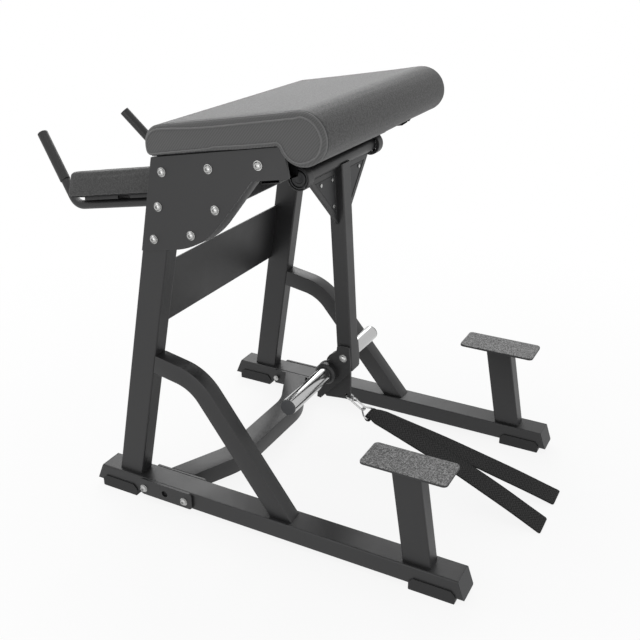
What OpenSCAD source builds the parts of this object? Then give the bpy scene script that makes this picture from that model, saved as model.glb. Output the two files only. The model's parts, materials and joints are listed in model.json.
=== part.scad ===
// Reverse hyperextension machine. Millimetres, +Z up, +X towards the foot plates,
// symmetric about Y = 0. Side frames lean inwards and the head is tilted.

/* [Base] */
// Length of each floor rail along its top
rail_l = 1211; // [1000:5:1500]
// Width of a floor rail
rail_w = 80; // [60:1:100]
// Height of a floor rail
rail_h = 58; // [40:1:80]
// Overall width across the floor rails
base_w = 918; // [800:2:1100]
// Wall of every square tube
wall = 3; // [2:0.5:5]
// Height of the rubber shoes under the rails
shoe_h = 17; // [6:1:20]
// Length of a rubber shoe
shoe_l = 135; // [80:2:200]
// Distance of the cross tube behind the pivot
cross_x = 281; // [220:1:340]

/* [Side frames] */
// Tube width seen from the side
post_w = 84; // [60:1:100]
// Tube depth across the machine
post_d = 52; // [40:1:70]
// Lean of the uprights
post_lean = 10.2; // [5:0.1:15]
// Width of the brace tubes seen from the side
brace_w = 58; // [40:1:70]
// Slope of the lower brace's long leg
brace_slope = 51.7; // [45:0.1:60]
// Thickness of the bolted side plates
plate_t = 8; // [5:0.5:12]

/* [Head] */
// Tilt of the head and of the main pad
head_tilt = 10; // [5:0.5:15]
// Distance of the head tubes' top along the tilted axis
head_w = 1126; // [1050:1:1200]
// Width of the main pad
pad_w = 822; // [700:2:950]
// Thickness of the main pad
pad_t = 76; // [50:1:100]
// Radius of the roll at the pad's front edge
roll_r = 67; // [50:1:80]

/* [Pendulum] */
// Height of the pivot axis above the rails' underside
pivot_z = 1031; // [950:1:1100]
// Outer diameter of the pivot tube
pivot_tube_d = 42; // [36:1:48]
// Diameter of the pivot shaft
shaft_d = 30; // [20:1:32]
// Length of the pendulum arm from the pivot axis
arm_l = 672; // [560:2:760]
// Lean of the pendulum arm at rest
arm_lean = 3.5; // [2:0.1:5]
// Diameter of the weight horn
horn_d = 50; // [40:1:52]
// Length of the weight horn
horn_l = 592; // [450:2:640]

/* [Handles and foot plates] */
// Diameter of the handle tubes
handle_d = 28; // [24:1:34]
// Length of a grip sleeve
grip_l = 172; // [120:2:200]
// Width of a forearm pad
arm_pad_w = 120; // [80:2:140]
// Length of a foot plate
step_l = 250; // [180:2:300]
// Width of a foot plate
step_w = 113; // [80:1:140]
// Height of the foot plates above the rails' underside
step_z = 349; // [250:1:450]

/* [Straps] */
// Width of the ankle straps
strap_w = 86; // [50:1:90]
// Thickness of the webbing
strap_t = 4; // [2:0.5:5]

/* [Hidden] */

$fn = 64;
eps = 0.01;
big = 4000;
tube_r = 5;
hole_gap = 0.5;
seat_gap = 0.02;
body_gap = 0.3;
bend_lap = 0.1;

// Rails
rail_x0 = -595.9;
rail_x1 = rail_x0 + rail_l;
rail_slant0 = 25;
rail_slant1 = 20;
rail_y = base_w / 2;
cap_t = 4;
shoe_wall = 4;
shoe_up = 22;
shoe_in = 25;
shoe_slope = 13;
shoe_rim = 12;
shoe_hollow = 3;

// Pivot
pivot_x = 22;
housing_r = 34;
housing_w = 30;
housing_y0 = 213;
housing_y1 = housing_y0 + housing_w;
bearing_r = 31;
bearing_w = 16;
ball_r = 4.7;
ball_n = 9;
ring_gap = 2.6;
ball_pitch_r = (bearing_r + shaft_d / 2) / 2;
bearing_in = 5;
bearing_y0 = housing_y0 + bearing_in;

// Side frames: outer face at rail height
side_in = 15.2;
side_y = rail_y - side_in;
upright_x = -534.8;
foot_post_in = 167.7;
foot_post_x = rail_x1 - foot_post_in;
foot_post_w = 83.5;
foot_post_lean = 10;
foot_side_lean = 2.3;
// Height over the rails where the side plates' faces are flush with the pad's sides
flush_z = 778.5;
side_lean = atan((side_y + plate_t - pad_w / 2) / flush_z);

// Head, in tilted coordinates
tube_top = head_w;
tube_low = head_w - post_w;
tube_u1 = 264;
plate_low = head_w - 258;
brace_angle = 43;
brace_r = 240;
brace_u = -129.8;
brace_tail = 90;
brace_run = 230;
pad_mount_t = 3.4;
pad_base = head_w + pad_mount_t;
pad_u0 = -158;
roll_u = 324;
pad_top = pad_base + pad_t;
board_t = 12;
beam_s = 60;
beam_u = -169;
handle_w = 972.8;
handle_u = -602;
handle_y = 258.2;
handle_bend = 60.7;
handle_roll = 14.3;
handle_r = 50;
handle_len = 265;
plug_t = 3;
grip_t = 2.6;
arm_pad_t = 76;
arm_pad_u0 = -585;
arm_pad_u1 = -225;
arm_pad_slant = 14;
tab_t = 8;
arm_board_t = 12;

// Pendulum
arm_w = 50;
arm_d = 52;
horn_x = 6;
horn_z = 346.3;
cheek_t = 8;
arm_cope = 8;
gusset_t = 10;
collar_r = 35;
collar_w = 26;

// Strap fastening, in the plane Y = 0
lug_x = 59;
lug_z = 259;
chain_drop = 32;
shackle_r = 13;
shackle_wire = 3;
hook_wire = 3.2;
hook_r = 8.4;
hook_half = 19;
hook_stop = 4;
gate_free = 1;
gate_r = 2.7;
knuckle_r = 2.9;
knuckle_w = 5;
ring_wire = 3;
ring_half = 30;
ring_top_half = 7;
ring_h = 34;
ring_shoulder = 14;
hook_mid = 2 * shackle_r - shackle_wire - hook_wire - body_gap + hook_r + hook_half;
ring_top = hook_mid + hook_half + hook_r - hook_wire - ring_wire - body_gap;
bar_x = lug_x + (ring_top + ring_h) * cos(chain_drop);
bar_z = lug_z - (ring_top + ring_h) * sin(chain_drop);
strap_rise = 8;
strap_neck = 26;
strap_taper = 45;
strap_round = 7;
strap_reach = 591;
eye_turn = 260;
drift_left = 143;
drift_right = -19;
lift_right = 5;

// Fasteners
bolt_r = 6;
washer_r = 13;
washer_t = 2;
head_r = 10.5;
head_h = 7;

// Middle of the overall length, which is the origin
handle_tip_x = -928.4;
tip_reach = 11.95;
strap_tip_x = bar_x + strap_reach;
shift_x = -(handle_tip_x - tip_reach + strap_tip_x) / 2;

module place() translate([shift_x, 0, shoe_h]) children();

module both() {
  children();
  mirror([0, 1, 0]) children();
}

// Frame of the far side: X along, Y outwards from the outer face, Z up the leaning side
module side() translate([0, side_y, rail_h]) rotate([side_lean, 0, 0]) children();

// The same side with the head's tilt, origin on the level of the rails' underside; the lean
// would lower the head a little, so it is lifted back
side_lift = (head_w - rail_h) * (1 / cos(side_lean) - 1);
module side_head() side() translate([0, 0, side_lift - rail_h]) head() children();

module head() rotate([0, -head_tilt, 0]) children();

module above_rails() {
  difference() {
    children();
    translate([-big / 2, -big / 2, rail_h - big]) cube(big);
  }
}

// Trims a cross member to the inner faces of both side frames
module between_sides() {
  difference() {
    children();
    both() side() translate([-big / 2, -post_d, -big / 2]) cube(big);
  }
}

module round_rect(a, b, r) {
  square([a - 2 * r, b], center = true);
  square([a, b - 2 * r], center = true);
  for (i = [-1, 1], j = [-1, 1])
    translate([i * (a / 2 - r), j * (b / 2 - r)]) circle(r, $fn = 32);
}

// Rounded square tube along Z
module box_tube(a, b, l, t = wall) {
  linear_extrude(l) difference() {
    round_rect(a, b, tube_r);
    square([a - 2 * t, b - 2 * t], center = true);
  }
}

// Closed solid through rings of as many points each
module skin(rings) {
  n = len(rings[0]);
  m = len(rings);
  sides = [
    for (i = [0:m - 2]) for (j = [0:n - 1]) let (k = (j + 1) % n)
      each [[i * n + j, (i + 1) * n + j, (i + 1) * n + k], [i * n + j, (i + 1) * n + k, i * n + k]]
  ];
  first = [for (j = [0:n - 1]) j];
  last = [for (j = [n - 1:-1:0]) (m - 1) * n + j];
  polyhedron(points = [for (r = rings) each r], faces = concat(sides, [first, last]));
}

function backwards(list) = [for (i = [len(list) - 1:-1:0]) list[i]];

// One edge of a bent tube in the plane of its bend, h outside its middle line:
// leg along X, bend towards -Y, second leg
bend_steps = 12;
function band_edge(l1, r, turn, l2, h) = [
  [0, h],
  for (i = [0:bend_steps]) let (t = turn * i / bend_steps) [l1 + (r + h) * sin(t), (r + h) * cos(t) - r],
  [l1 + (r + h) * sin(turn) + l2 * cos(turn), (r + h) * cos(turn) - r - l2 * sin(turn)]
];

// One size of a bent square tube, a high in the plane of its bend and b across it
module bent_run(l1, r, turn, l2, a, b) {
  rotate([90, 0, 0]) linear_extrude(b, center = true) polygon(concat(
    band_edge(l1, r, turn, l2, a / 2), backwards(band_edge(l1, r, turn, l2, -a / 2))
  ));
}

// Dome-headed bolt along Y, with a washer under its head at Y = 0
module bolt(length) {
  rotate([-90, 0, 0]) {
    difference() {
      rotate_extrude($fn = 32) polygon([
        [0, -length], [bolt_r, -length], [bolt_r, 0], [washer_r, 0], [washer_r, washer_t],
        [head_r, washer_t], [head_r, washer_t + 0.4 * head_h], [0.75 * head_r, washer_t + 0.85 * head_h],
        [0.45 * head_r, washer_t + head_h], [0, washer_t + head_h]
      ]);
      translate([0, 0, washer_t + 0.45 * head_h]) cylinder(r = 4.6, h = head_h, $fn = 6);
    }
  }
}

module bolt_holes(places) {
  for (p = places) translate([p[0], -big / 2, p[1]]) rotate([-90, 0, 0])
    cylinder(r = bolt_r + hole_gap, h = big);
}

// Base

base_bolt_x = [-426, -272];
base_bolt_z = 26;
open_hole_x = -346;
clamp_x0 = -440;
clamp_x1 = -243;
flange_x0 = -436;
flange_x1 = -254;
flange_t = 8;

module rail_ends(grow) {
  for (e = [[rail_x0 - rail_slant0, rail_slant0, -1], [rail_x1 + rail_slant1, rail_slant1, 1]])
    translate([e[0] - e[2] * grow, -big / 2, 0])
      rotate([0, -e[2] * atan(e[1] / rail_h), 0])
        translate([e[2] > 0 ? 0 : -big, 0, -big / 2]) cube(big);
}

module base_holes() {
  for (x = base_bolt_x) translate([x, 0, base_bolt_z]) rotate([-90, 0, 0])
    cylinder(r = bolt_r + hole_gap, h = big, center = true);
}

module rail_body(inner) {
  t = inner ? wall : 0;
  translate([rail_x0 - 2 * rail_slant0, rail_y - rail_w / 2, rail_h / 2]) rotate([90, 0, 90])
    linear_extrude(rail_l + 4 * rail_slant0)
      round_rect(rail_w - 2 * t, rail_h - 2 * t, inner ? 1 : tube_r);
}

module floor_rails() {
  color("#26272a") place() both() difference() {
    rail_body(false);
    rail_body(true);
    rail_ends(cap_t);
    base_holes();
  }
}

module rail_end_caps() {
  color("#141414") place() both() difference() {
    intersection() {
      rail_body(false);
      rail_ends(cap_t);
    }
    rail_ends(0);
  }
}

// Rubber shoe that grips the rail's sides, X running from x0
module shoe(x0) {
  difference() {
    translate([x0, rail_y + shoe_wall, 0]) rotate([90, 0, 0]) linear_extrude(rail_w + 2 * shoe_wall)
      polygon([
        [2, -shoe_h], [shoe_l - 2, -shoe_h], [shoe_l, 2 - shoe_h], [shoe_l, shoe_up - shoe_slope],
        [shoe_l - shoe_slope, shoe_up], [shoe_slope, shoe_up], [0, shoe_up - shoe_slope], [0, 2 - shoe_h]
      ]);
    translate([x0 - 1, rail_y - rail_w, 0]) cube([shoe_l + 2, rail_w, rail_h]);
    translate([x0 + shoe_rim, rail_y - rail_w + shoe_rim, -shoe_h - 1])
      cube([shoe_l - 2 * shoe_rim, rail_w - 2 * shoe_rim, shoe_hollow + 1]);
  }
}

module rubber_shoes() {
  color("#121212") place() both() {
    shoe(rail_x0 - rail_slant0 + shoe_in);
    shoe(rail_x1 + rail_slant1 - shoe_in - shoe_l);
  }
}

cross_r = 200;
cross_turn = 25;
cross_kink_y = 191;
cross_half = cross_kink_y - cross_r * tan(cross_turn / 2);
flange_y1 = rail_y - rail_w;
flange_y0 = flange_y1 - flange_t;
cross_leg = (flange_y0 - cross_kink_y) / cos(cross_turn) + rail_w;

// One edge of the cross tube seen from above, h outside its middle line
function cross_edge(h, way) = [
  for (i = [0:bend_steps]) let (t = cross_turn * i / bend_steps)
    [(cross_r + h) * cos(t) - cross_r, way * (cross_half + (cross_r + h) * sin(t))],
  [
    (cross_r + h) * cos(cross_turn) - cross_r - cross_leg * sin(cross_turn),
    way * (cross_half + (cross_r + h) * sin(cross_turn) + cross_leg * cos(cross_turn))
  ]
];

module cross_run(inner) {
  t = inner ? wall : 0;
  h = rail_w / 2 - t;
  translate([pivot_x - cross_x, 0, t]) linear_extrude(rail_h - 2 * t) polygon(concat(
    cross_edge(h, 1), backwards(cross_edge(-h, 1)), cross_edge(-h, -1), backwards(cross_edge(h, -1))
  ));
}

module base_cross_tube() {
  color("#26272a") place() difference() {
    cross_run(false);
    cross_run(true);
    both() translate([-big / 2, flange_y0, -big / 2]) cube(big);
  }
}

module inner_flange_plates() {
  color("#26272a") place() both() difference() {
    translate([flange_x0, flange_y0, 1]) cube([flange_x1 - flange_x0, flange_t, rail_h - 2]);
    base_holes();
  }
}

module outer_clamp_plates() {
  clamp_h = rail_h - 2;
  clamp_l = clamp_x1 - clamp_x0;
  color("#26272a") place() both() difference() {
    translate([(clamp_x0 + clamp_x1) / 2, rail_y, rail_h / 2 + 2]) rotate([-90, 0, 0])
      linear_extrude(plate_t) round_rect(clamp_l, clamp_h, 12);
    base_holes();
    translate([open_hole_x, 0, base_bolt_z + 3]) rotate([-90, 0, 0]) cylinder(r = 11, h = big);
  }
}

module base_bolts() {
  nut_y = flange_y0;
  color("#c3c6c9") place() both() for (x = base_bolt_x) translate([x, 0, base_bolt_z]) {
    translate([0, rail_y + plate_t, 0]) bolt(rail_w + plate_t + flange_t + 12);
    translate([0, nut_y, 0]) rotate([90, 0, 0]) difference() {
      cylinder(r = 11, h = 10, $fn = 6);
      translate([0, 0, -1]) cylinder(r = bolt_r - eps, h = 12);
    }
  }
}

// Side frames

upright_h = head_w;

module upright_solid(inner) {
  t = inner ? wall : 0;
  side() translate([upright_x, 0, 0]) rotate([0, post_lean, 0])
    translate([post_w / 2, -post_d / 2, -60]) linear_extrude(upright_h)
      round_rect(post_w - 2 * t, post_d - 2 * t, inner ? 1 : tube_r);
}

// Everything above the head tubes' underside
module head_zone(w) {
  side_head() translate([-big / 2, -big / 2, w]) cube(big);
}

module uprights() {
  color("#26272a") place() both() difference() {
    above_rails() upright_solid(false);
    upright_solid(true);
    head_zone(tube_low);
    side_head() bolt_holes(upright_bolts);
  }
}

brace_meet_x = -235.75;
brace_meet_z = 432.65;
brace_bend_r = 155;
brace_turn = brace_slope - post_lean;
brace_tan = brace_bend_r * tan(brace_turn / 2);
brace_leg = 200;
brace_long = 560;

module lower_brace_run(inner) {
  t = inner ? wall : 0;
  side() translate([brace_meet_x, -post_d / 2, brace_meet_z - rail_h]) rotate([0, post_lean, 0])
    translate([-brace_leg, 0, 0])
      bent_run(brace_leg - brace_tan, brace_bend_r, brace_turn, brace_long, brace_w - 2 * t, post_d - 2 * t);
}

module behind_upright() {
  side() translate([upright_x, 0, 0]) rotate([0, post_lean, 0])
    translate([post_w - big, -big / 2, -big / 2]) cube(big);
}

module lower_braces() {
  color("#26272a") place() both() difference() {
    above_rails() lower_brace_run(false);
    lower_brace_run(true);
    behind_upright();
  }
}

module foot_post_solid(inner) {
  t = inner ? wall : 0;
  translate([foot_post_x, side_y, rail_h]) rotate([foot_side_lean, 0, 0])
    rotate([0, -foot_post_lean, 0]) translate([foot_post_w / 2, -post_d / 2, -60])
      linear_extrude(step_z + 60) round_rect(foot_post_w - 2 * t, post_d - 2 * t, inner ? 1 : tube_r);
}

step_t = 5;
sheet_t = 2;

module foot_posts() {
  color("#26272a") place() both() difference() {
    above_rails() foot_post_solid(false);
    foot_post_solid(true);
    translate([-big / 2, -big / 2, step_z - step_t - sheet_t]) cube(big);
  }
}

step_x = 440;
step_y = 402.5;
step_r = 14;

module foot_plates() {
  color("#2b2c2f") place() both() translate([step_x, step_y, step_z - sheet_t - step_t])
    linear_extrude(step_t) round_rect(step_l, step_w, step_r);
}

module grip_sheets() {
  color("#7d7f80") place() both() translate([step_x, step_y, step_z - sheet_t])
    linear_extrude(sheet_t) round_rect(step_l - 2, step_w - 2, step_r - 1);
}

// Head

module head_tube_run(inner) {
  t = inner ? wall : 0;
  side_head() translate([-300, -post_d / 2, (tube_low + tube_top) / 2]) rotate([90, 0, 90])
    linear_extrude(300 + tube_u1) round_rect(post_d - 2 * t, post_w - 2 * t, inner ? 1 : tube_r);
}

module beyond_upright(inset) {
  side() translate([upright_x, 0, 0]) rotate([0, post_lean, 0])
    translate([inset - big, -big / 2, -big / 2]) cube(big);
}

top_bolts = [[-125, head_w - 42], [28.6, head_w - 42], [183.4, head_w - 42]];
upright_bolts = [[-159.4, head_w - 135.5], [-195, head_w - 226.4]];
brace_bolts = [[28.5, head_w - 151.6], [-64.9, head_w - 218.8]];
side_bolt_places = concat(top_bolts, upright_bolts, brace_bolts);

// Space of the cushion's roll, which the tubes and plates in front of it are coped to
module roll_space() head() translate([roll_u, 0, roll_w]) rotate([90, 0, 0])
  cylinder(r = roll_r + body_gap, h = big, center = true);

module head_side_tubes() {
  color("#26272a") place() both() difference() {
    head_tube_run(false);
    roll_space();
    difference() {
      head_tube_run(true);
      side_head() translate([tube_u1 - wall, -big / 2, -big / 2]) cube(big);
      beyond_upright(wall);
    }
    beyond_upright(0);
    side_head() bolt_holes(top_bolts);
  }
}

// Curved brace from the upright up to the head tube, drawn in tilted coordinates
module upper_brace_run(inner) {
  t = inner ? wall : 0;
  side_head() translate([brace_u - brace_tail, -post_d / 2, plate_low + brace_w / 2]) mirror([0, 0, 1])
    bent_run(brace_tail, brace_r - brace_w / 2, brace_angle, brace_run, brace_w - 2 * t, post_d - 2 * t);
}

module upper_braces() {
  color("#26272a") place() both() difference() {
    upper_brace_run(false);
    upper_brace_run(true);
    behind_upright();
    head_zone(tube_low);
    side_head() bolt_holes(brace_bolts);
  }
}

plate_corner = 265;
plate_notch = 156;
plate_left_low = -246.6;
plate_left_top = -153;

module side_plate_outline() {
  arc_w = plate_low + brace_r;
  polygon([
    [plate_left_low, plate_low], [brace_u, plate_low],
    for (a = [4:4:brace_angle]) [brace_u + brace_r * sin(a), arc_w - brace_r * cos(a)],
    [plate_notch, tube_low + 2], [plate_corner, tube_low + 2], [plate_corner + 3, tube_low + 6],
    [plate_corner, head_w - 8], [plate_corner - 4, head_w], [plate_left_top, head_w]
  ]);
}

module side_plates() {
  color("#2a2b2e") place() both() difference() {
    side_head() translate([0, plate_t, 0]) rotate([90, 0, 0]) linear_extrude(plate_t) side_plate_outline();
    side_head() bolt_holes(side_bolt_places);
    roll_space();
  }
}

module side_bolts() {
  color("#c3c6c9") place() both() side_head()
    for (p = side_bolt_places) translate([p[0], plate_t, p[1]]) bolt(plate_t + wall + 10);
}

panel_t = 4;
panel_z0 = 532;
panel_z1 = 739;
panel_in = 9;

module rear_panel() {
  color("#2a2b2e") place() between_sides() translate([upright_x, 0, rail_h]) rotate([0, post_lean, 0])
    translate([panel_in, -big / 2, (panel_z0 - rail_h) / cos(post_lean)])
      cube([panel_t, big, (panel_z1 - panel_z0) / cos(post_lean)]);
}

cross_beam_u = 82;
cross_beam_low = head_w - 145;

module head_cross_beam() {
  color("#26272a") place() between_sides() head()
    translate([cross_beam_u - post_d / 2, big / 2, cross_beam_low + post_w / 2]) rotate([90, 0, 0])
      box_tube(post_d, post_w, big);
}

module handle_beam() {
  color("#26272a") place() between_sides() head()
    translate([beam_u, big / 2, handle_w]) rotate([90, 0, 0]) box_tube(beam_s, beam_s, big);
}

pad_half = pad_w / 2;
mount_in = 25;
mount_half = pad_half - mount_in;
mount_w = 66;
mount_l = 390;
mount_u = -140;

module pad_mount_plates() {
  color("#26272a") place() both() head() translate([mount_u, mount_half - mount_w, head_w])
    cube([mount_l, mount_w, pad_mount_t]);
}

board_in = 12;
board_u0 = pad_u0 + board_in;
board_u1 = roll_u - roll_r - 8;

module main_pad_board() {
  color("#8a6a45") place() head() translate([board_u0, -pad_half + board_in, pad_base])
    cube([board_u1 - board_u0, pad_w - 2 * board_in, board_t]);
}

// Section of the main pad, drawn in by d at every side, in tilted coordinates
roll_w = pad_top - roll_r;
pad_left_r = 52;
pad_foot_r = 12;
function pad_section(d, crown) =
  let (
    r = roll_r - d,
    low = asin((roll_w - pad_base - d) / r),
    a0 = 180 + low,
    n = 15
  )
  [
    for (i = [0:n]) let (a = a0 + (450 - a0) * i / n) [roll_u + r * cos(a), roll_w + r * sin(a)],
    for (k = [0.25, 0.5, 0.75]) let (u = roll_u + k * (pad_u0 + pad_left_r - roll_u))
      [u, pad_top - d + crown * sin(180 * k)],
    for (i = [0:6]) let (a = 90 + 15 * i, q = pad_left_r - d)
      [pad_u0 + pad_left_r + q * cos(a), pad_top - pad_left_r + q * sin(a)],
    for (i = [0:3]) let (a = 180 + 30 * i, q = pad_foot_r)
      [pad_u0 + d + q + q * cos(a), pad_base + d + q + q * sin(a)]
  ];

pad_edge = 7;
pad_crown = 3;
pad_stations = [
  for (i = [0:3]) [-pad_half + pad_edge * (1 - cos(30 * i)), pad_edge * (1 - sin(30 * i)), 0],
  for (k = [-2:2]) [k * (pad_half - pad_edge) / 2.4, 0, pad_crown * cos(30 * k)],
  for (i = [3:-1:0]) [pad_half - pad_edge * (1 - cos(30 * i)), pad_edge * (1 - sin(30 * i)), 0]
];

module main_pad() {
  color("#4b4c4f") place() head() difference() {
    skin([for (s = pad_stations) [for (p = pad_section(s[1], s[2])) [p[0], s[0], p[1]]]]);
    translate([board_u0 - body_gap, -pad_half + board_in - body_gap, pad_base - 20])
      cube([board_u1 - board_u0 + 2 * body_gap, pad_w - 2 * (board_in - body_gap), 20 + board_t]);
  }
}

// Pivot

pivot_u = pivot_x * cos(head_tilt) + pivot_z * sin(head_tilt);
pivot_w = pivot_z * cos(head_tilt) - pivot_x * sin(head_tilt);
stub_low = pivot_w + 11.5;
stub_w = 60;

module at_pivot() translate([pivot_x, 0, pivot_z]) rotate([-90, 0, 0]) children();

module pivot_stub_tubes() {
  color("#26272a") place() between_sides() both() difference() {
    head() translate([pivot_u + 3 - stub_w / 2, housing_y0, stub_low + post_w / 2]) rotate([-90, 0, 0])
      difference() {
        linear_extrude(big) round_rect(stub_w, post_w, tube_r);
        translate([0, 0, wall]) linear_extrude(big)
          square([stub_w - 2 * wall, post_w - 2 * wall], center = true);
      }
    at_pivot() translate([0, 0, housing_y0 - 1]) cylinder(r = housing_r, h = housing_w + 1);
  }
}

module bearing_housings() {
  color("#26272a") place() both() at_pivot() translate([0, 0, housing_y0]) rotate_extrude()
    polygon([
      [bearing_r - 5, 0], [housing_r - 1, 0], [housing_r, 1], [housing_r, housing_w - 1],
      [housing_r - 1, housing_w], [bearing_r + seat_gap, housing_w], [bearing_r + seat_gap, bearing_in],
      [bearing_r - 5, bearing_in]
    ]);
}

module bearing_ring(r0, r1, groove_r) {
  rotate_extrude() difference() {
    translate([r0, 0]) square([r1 - r0, bearing_w]);
    translate([ball_pitch_r, bearing_w / 2]) circle(groove_r, $fn = 48);
  }
}

module bearing_outer_rings() {
  color("#b9bcc0") place() both() at_pivot() translate([0, 0, bearing_y0])
    bearing_ring(ball_pitch_r + ring_gap, bearing_r, ball_r + 2 * seat_gap);
}

module bearing_balls() {
  color("#d0d3d6") place() both() at_pivot() translate([0, 0, bearing_y0 + bearing_w / 2])
    for (i = [0:ball_n - 1]) rotate([0, 0, i * 360 / ball_n])
      translate([ball_pitch_r, 0, 0]) sphere(ball_r, $fn = 32);
}

module bearing_inner_rings() {
  color("#b9bcc0") place() both() at_pivot() translate([0, 0, bearing_y0])
    bearing_ring(shaft_d / 2 + seat_gap, ball_pitch_r - ring_gap, ball_r + body_gap);
}

cap_y0 = bearing_y0 + bearing_w;
cap_h = housing_y1 - cap_y0;

module bearing_caps() {
  color("#1b1c1e") place() both() at_pivot() translate([0, 0, cap_y0]) rotate_extrude() polygon([
    [shaft_d / 2 + 2, 0], [bearing_r, 0], [bearing_r, cap_h - 1], [bearing_r - 2, cap_h - 1],
    [bearing_r - 3, cap_h - 2], [bearing_r - 7, cap_h - 2], [bearing_r - 8, cap_h - 3.5], [0, cap_h - 3.5],
    [0, 4], [shaft_d / 2 + 2, 4]
  ]);
}

module pivot_shaft() {
  color("#b9bcc0") place() at_pivot() translate([0, 0, -cap_y0 - 3])
    cylinder(r = shaft_d / 2, h = 2 * (cap_y0 + 3));
}

tube_half = housing_y0 - 1;

module pivot_tube() {
  color("#26272a") place() at_pivot() translate([0, 0, -tube_half]) difference() {
    cylinder(r = pivot_tube_d / 2, h = 2 * tube_half);
    translate([0, 0, -1]) cylinder(r = shaft_d / 2 + seat_gap, h = 2 * tube_half + 2);
  }
}

// Frame of the hanging arm: origin at the pivot, Z up along the arm
module hang() translate([pivot_x, 0, pivot_z]) rotate([0, -arm_lean, 0]) children();

module pendulum_arm() {
  color("#26272a") place() difference() {
    hang() translate([0, 0, -arm_l]) linear_extrude(arm_l) round_rect(arm_w, arm_d, 4);
    hang() translate([0, 0, -arm_l + wall]) linear_extrude(arm_l)
      square([arm_w - 2 * wall, arm_d - 2 * wall], center = true);
    at_pivot() cylinder(r = pivot_tube_d / 2, h = big, center = true);
    hang() translate([-big / 2, -big / 2, -arm_cope]) cube(big);
    hang() translate([0, -big / 2, bolt_down]) rotate([-90, 0, 0]) cylinder(r = bolt_r + hole_gap, h = big);
  }
}

bolt_down = -627;
gusset_y1 = 186;
gusset_low = -189;
gusset_top = -pivot_tube_d / 2;
gusset_y0 = arm_d / 2;

gusset_lip = 8;
gusset_k = (gusset_top - gusset_lip - gusset_low) / (gusset_y1 - gusset_y0);

// Outline of a gusset, Y outwards and Z up along the arm
module gusset_face() {
  polygon([
    [gusset_y0, gusset_low], [gusset_y1, gusset_top - gusset_lip], [gusset_y1, gusset_top],
    [gusset_y0, gusset_top]
  ]);
}

// Triangle inside the gusset's border
module gusset_recess(inset) {
  top = gusset_top - inset;
  slope_in = inset * sqrt(1 + gusset_k * gusset_k);
  polygon([
    [gusset_y0 + inset, gusset_low + gusset_k * inset + slope_in],
    [gusset_y0 + (top - gusset_low - slope_in) / gusset_k, top], [gusset_y0 + inset, top]
  ]);
}

module gusset_at(t) rotate([90, 0, 90]) translate([0, 0, -t / 2]) linear_extrude(t) children();

module pendulum_gussets() {
  color("#26272a") place() both() hang() difference() {
    gusset_at(gusset_t) gusset_face();
    translate([gusset_t / 2, 0, 0]) gusset_at(6) gusset_recess(14);
    translate([-gusset_t / 2, 0, 0]) gusset_at(6) gusset_recess(14);
    for (p = gusset_screw_places) translate([0, p[0], p[1]]) rotate([0, 90, 0])
      cylinder(r = 2.5 + hole_gap, h = 40, center = true);
  }
}

gusset_screw_places = [[54, -48], [124, -48], [54, -126]];

module gusset_covers() {
  color("#1d1e20") place() both() hang() for (m = [-1, 1]) difference() {
    translate([m * 2.9, 0, 0]) gusset_at(1.8) gusset_recess(14.5);
    for (p = gusset_screw_places) translate([0, p[0], p[1]]) rotate([0, 90, 0])
      cylinder(r = 2.5 + hole_gap, h = 40, center = true);
  }
}

module gusset_screws() {
  color("#c3c6c9") place() both() hang() for (p = gusset_screw_places) translate([0, p[0], p[1]])
    rotate([0, 90, 0]) {
      cylinder(r = 2.5, h = 8.4, center = true, $fn = 32);
      for (m = [0, 1]) mirror([0, 0, m]) translate([0, 0, 3.8]) cylinder(r = 5.5, h = 2.6, $fn = 32);
    }
}

// Weight horn and its bracket

module cheek_outline() {
  polygon([
    [38, 441], [44, 446], [74, 448], [80, 444], [85, 391], [85, 360], [-20, 243], [-33, 245],
    for (a = [210:-15:105]) [horn_x + (collar_r + 1) * cos(a), horn_z + (collar_r + 1) * sin(a)],
    [11, 388], [16, 403], [25, 415], [36, 425]
  ]);
}

// The horn is turned down a little where the collars, cheeks and lug sit on it
horn_neck = horn_d / 2 - 0.4;
horn_seat = arm_d / 2 + cheek_t + collar_w + 1;

module horn_hole() translate([horn_x, 0, horn_z]) rotate([90, 0, 0])
  cylinder(r = horn_neck + seat_gap, h = big, center = true);

module horn_brackets() {
  color("#232427") place() both() difference() {
    translate([0, arm_d / 2 + cheek_t, 0]) rotate([90, 0, 0]) linear_extrude(cheek_t) cheek_outline();
    horn_hole();
    hang() translate([0, -big / 2, bolt_down]) rotate([-90, 0, 0]) cylinder(r = bolt_r + hole_gap, h = big);
  }
}

module horn_collars() {
  color("#232427") place() both() translate([horn_x, arm_d / 2 + cheek_t, horn_z]) rotate([-90, 0, 0])
    rotate_extrude() polygon([
      [horn_neck + seat_gap, 0], [collar_r, 0], [collar_r, collar_w - 5], [collar_r - 5, collar_w],
      [horn_neck + seat_gap, collar_w]
    ]);
}

module bracket_bolt() {
  reach = arm_d / 2 + cheek_t;
  color("#c3c6c9") place() hang() translate([0, 0, bolt_down]) {
    translate([0, -reach, 0]) mirror([0, 1, 0]) bolt(2 * reach + 10);
    translate([0, reach, 0]) rotate([-90, 0, 0]) difference() {
      cylinder(r = 11, h = 9, $fn = 6);
      translate([0, 0, -1]) cylinder(r = bolt_r - eps, h = 12);
    }
  }
}

horn_wall = 5;
horn_cap_t = 5;

module weight_horn() {
  end = horn_l / 2 - horn_cap_t;
  bore = horn_d / 2 - horn_wall;
  color("#d7d9dc") place() translate([horn_x, 0, horn_z]) rotate([90, 0, 0]) rotate_extrude() polygon([
    [bore, -end], [horn_d / 2, -end], [horn_d / 2, -horn_seat], [horn_neck, -horn_seat],
    [horn_neck, horn_seat], [horn_d / 2, horn_seat], [horn_d / 2, end], [bore, end]
  ]);
}

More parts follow.
